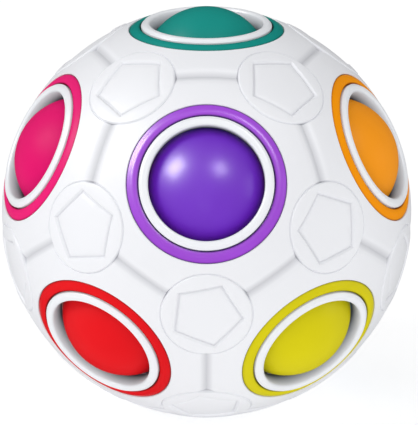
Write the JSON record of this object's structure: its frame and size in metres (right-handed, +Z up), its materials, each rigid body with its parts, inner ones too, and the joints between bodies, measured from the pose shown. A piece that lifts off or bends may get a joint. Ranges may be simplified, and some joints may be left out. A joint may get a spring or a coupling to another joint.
{
  "type": "sliding ball puzzle sphere",
  "caption": "Hollow white puzzle ball with round colour-ringed seats; coloured balls are pressed in and rolled through the inside to the empty seat.",
  "frame": {"origin": "centre of the rim of the empty bottom seat, on the surface the ball stands on", "axes": "+Z up through the top (teal) seat, -Y towards the purple seat, +X right, on the side of the orange seat"},
  "size_m": [0.07, 0.0702, 0.0698],
  "materials": {
    "shell_white": "semi-gloss moulded white",
    "collar_white": "glossy moulded white",
    "teal_plastic": "glossy moulded teal",
    "purple_plastic": "glossy moulded purple",
    "orange_plastic": "glossy moulded orange",
    "blue_plastic": "glossy moulded blue",
    "green_plastic": "glossy moulded green",
    "pink_plastic": "glossy moulded pink",
    "red_plastic": "glossy moulded red",
    "yellow_plastic": "glossy moulded yellow",
    "sky_plastic": "glossy moulded sky",
    "magenta_plastic": "glossy moulded magenta",
    "peach_plastic": "glossy moulded peach",
    "core_white": "plain moulded white"
  },
  "bodies": {
    "shell": {"right_shell": "shell_white", "left_shell": "shell_white", "teal_ring": "teal_plastic", "teal_collar": "collar_white", "purple_ring": "purple_plastic", "purple_collar": "collar_white", "orange_ring": "orange_plastic", "orange_collar": "collar_white", "blue_ring": "blue_plastic", "blue_collar": "collar_white", "green_ring": "green_plastic", "green_collar": "collar_white", "pink_ring": "pink_plastic", "pink_collar": "collar_white", "red_ring": "red_plastic", "red_collar": "collar_white", "yellow_ring": "yellow_plastic", "yellow_collar": "collar_white", "sky_ring": "sky_plastic", "sky_collar": "collar_white", "magenta_ring": "magenta_plastic", "magenta_collar": "collar_white", "peach_ring": "peach_plastic", "peach_collar": "collar_white", "white_ring": "collar_white", "white_collar": "collar_white"},
    "teal_ball": {"teal_outer_cup": "teal_plastic", "teal_inner_cup": "teal_plastic"},
    "purple_ball": {"purple_outer_cup": "purple_plastic", "purple_inner_cup": "purple_plastic"},
    "orange_ball": {"orange_outer_cup": "orange_plastic", "orange_inner_cup": "orange_plastic"},
    "blue_ball": {"blue_outer_cup": "blue_plastic", "blue_inner_cup": "blue_plastic"},
    "green_ball": {"green_outer_cup": "green_plastic", "green_inner_cup": "green_plastic"},
    "pink_ball": {"pink_outer_cup": "pink_plastic", "pink_inner_cup": "pink_plastic"},
    "red_ball": {"red_outer_cup": "red_plastic", "red_inner_cup": "red_plastic"},
    "yellow_ball": {"yellow_outer_cup": "yellow_plastic", "yellow_inner_cup": "yellow_plastic"},
    "sky_ball": {"sky_outer_cup": "sky_plastic", "sky_inner_cup": "sky_plastic"},
    "magenta_ball": {"magenta_outer_cup": "magenta_plastic", "magenta_inner_cup": "magenta_plastic"},
    "peach_ball": {"peach_outer_cup": "peach_plastic", "peach_inner_cup": "peach_plastic"},
    "core_ball": {"core_upper_cup": "core_white", "core_lower_cup": "core_white"}
  },
  "joints": [
    {"name": "teal_press", "type": "slide", "parent": "shell", "child": "teal_ball", "axis": [0, 0, 1], "range_m": [-0.0045, 0]},
    {"name": "purple_press", "type": "slide", "parent": "shell", "child": "purple_ball", "axis": [0, -0.8944, 0.4472], "range_m": [-0.0045, 0]},
    {"name": "orange_press", "type": "slide", "parent": "shell", "child": "orange_ball", "axis": [0.8507, -0.2764, 0.4472], "range_m": [-0.0045, 0]},
    {"name": "blue_press", "type": "slide", "parent": "shell", "child": "blue_ball", "axis": [0.5257, 0.7236, 0.4472], "range_m": [-0.0045, 0]},
    {"name": "green_press", "type": "slide", "parent": "shell", "child": "green_ball", "axis": [-0.5257, 0.7236, 0.4472], "range_m": [-0.0045, 0]},
    {"name": "pink_press", "type": "slide", "parent": "shell", "child": "pink_ball", "axis": [-0.8507, -0.2764, 0.4472], "range_m": [-0.0045, 0]},
    {"name": "yellow_press", "type": "slide", "parent": "shell", "child": "yellow_ball", "axis": [0.5257, -0.7236, -0.4472], "range_m": [-0.0045, 0]},
    {"name": "sky_press", "type": "slide", "parent": "shell", "child": "sky_ball", "axis": [0.8507, 0.2764, -0.4472], "range_m": [-0.0045, 0]},
    {"name": "magenta_press", "type": "slide", "parent": "shell", "child": "magenta_ball", "axis": [0, 0.8944, -0.4472], "range_m": [-0.0045, 0]},
    {"name": "peach_press", "type": "slide", "parent": "shell", "child": "peach_ball", "axis": [-0.8507, 0.2764, -0.4472], "range_m": [-0.0045, 0]},
    {"name": "red_roll", "type": "hinge", "parent": "shell", "child": "red_ball", "pos_m": [-0.01369, -0.01884, -0.00404], "axis": [-0.809, 0.5878, 0], "range_deg": [0, 60.56]},
    {"name": "core_shift", "type": "slide", "parent": "shell", "child": "core_ball", "axis": [0.309, 0.4253, 0.8507], "range_m": [0, 0.0053]}
  ],
  "couplings": [
    {"joint": "core_shift", "follows": "red_roll", "m_per_rad": 0.00492}
  ]
}
